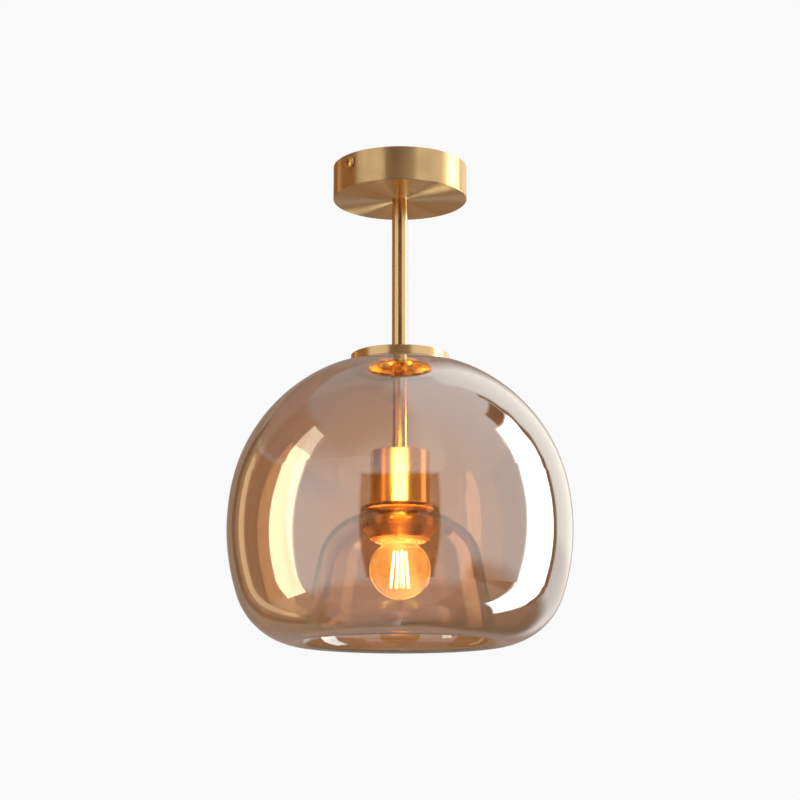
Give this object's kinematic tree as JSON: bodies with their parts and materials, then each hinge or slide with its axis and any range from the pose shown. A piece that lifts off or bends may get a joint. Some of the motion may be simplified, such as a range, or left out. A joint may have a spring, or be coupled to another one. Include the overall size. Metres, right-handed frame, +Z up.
{
  "type": "semi flush ceiling light",
  "caption": "Brass canopy and rod carrying a screw lampholder inside a round amber glass shade whose underside is pushed up into a bell.",
  "frame": {"origin": "on the rod's axis in the plane of the ceiling, at the middle of the bracket's two slots", "axes": "+Z up into the ceiling, +X along the ceiling bracket through both slots and both side screws, +Y towards the terminal block"},
  "size_m": [0.2506, 0.2506, 0.3574],
  "materials": {
    "brass": "brushed and lacquered brass, satin",
    "brass_inner": "plain machined brass",
    "zinc_steel": "bright zinc plate",
    "amber_glass": "blown amber glass with a thin mirror lustre",
    "silicone": "clear silicone rubber",
    "terminal_plastic": "moulded nylon",
    "brown_pvc": "PVC insulation",
    "blue_pvc": "PVC insulation",
    "green_pvc": "PVC insulation",
    "holder_plastic": "threaded brass sleeve",
    "ceramic": null,
    "lamp_metal": "nickel plated brass",
    "lamp_insulation": null,
    "lamp_glass": "clear lamp glass",
    "filament": "phosphor coated LED filament, lit",
    "support_wire": "drawn nickel wire"
  },
  "bodies": {
    "fixture": {"mounting_bracket": "zinc_steel", "canopy": "brass", "earth_screw": "brass_inner", "earth_tag": "zinc_steel", "terminal_block": "terminal_plastic", "terminal_block_tubes": "brass_inner", "terminal_block_screws": "zinc_steel", "terminal_block_fixing_screw": "zinc_steel", "live_wire": "brown_pvc", "neutral_wire": "blue_pvc", "earth_wire": "green_pvc", "canopy_lock_washer": "zinc_steel", "canopy_lock_nut": "zinc_steel", "stem_top_nipple": "brass_inner", "stem": "brass", "stem_bottom_nipple": "brass_inner", "holder_cup": "brass", "holder_bridge": "zinc_steel", "holder_lock_washer": "zinc_steel", "holder_lock_nut": "zinc_steel", "holder_bridge_screws": "zinc_steel", "holder_barrel": "holder_plastic", "holder_insert": "ceramic", "holder_terminals": "brass_inner", "socket_shell": "brass_inner", "centre_contact": "brass_inner"},
    "shade": {"glass_shade": "amber_glass", "upper_glass_gasket": "silicone", "lower_glass_gasket": "silicone"},
    "clamp_ring": {"shade_ring": "brass"},
    "lamp_travel": {"lamp_contact": "lamp_metal"},
    "lamp": {"lamp_insulator": "lamp_insulation", "lamp_cap": "lamp_metal", "lamp_glass": "lamp_glass", "lamp_mount": "lamp_glass", "lamp_filaments": "filament", "lamp_support_wires": "support_wire"},
    "cap": {"shade_cap": "brass", "shade_cap_gasket": "silicone"},
    "left_screw": {"canopy_screw_left": "brass"},
    "right_screw": {"canopy_screw_right": "brass"}
  },
  "joints": [
    {"name": "shade_lower", "type": "slide", "parent": "fixture", "child": "shade", "axis": [0, 0, -1], "range_m": [0, 0.135]},
    {"name": "ring_lower", "type": "slide", "parent": "shade", "child": "clamp_ring", "axis": [0, 0, -1], "range_m": [0, 0.1]},
    {"name": "lamp_travel", "type": "slide", "parent": "clamp_ring", "child": "lamp_travel", "axis": [0, 0, -1], "range_m": [0, 0.02178]},
    {"name": "lamp_unscrew", "type": "hinge", "parent": "lamp_travel", "child": "lamp", "pos_m": [0, 0, -0.3], "axis": [0, 0, -1], "range_deg": [0, 2160]},
    {"name": "cap_lift", "type": "slide", "parent": "fixture", "child": "cap", "axis": [0, 0, 1], "range_m": [0, 0.118]},
    {"name": "left_screw_out", "type": "slide", "parent": "fixture", "child": "left_screw", "axis": [-1, 0, 0], "range_m": [0, 0.0045]},
    {"name": "right_screw_out", "type": "slide", "parent": "fixture", "child": "right_screw", "axis": [1, 0, 0], "range_m": [0, 0.0045]}
  ],
  "couplings": [
    {"joint": "lamp_unscrew", "follows": "lamp_travel", "rad_per_m": 1730.9}
  ]
}
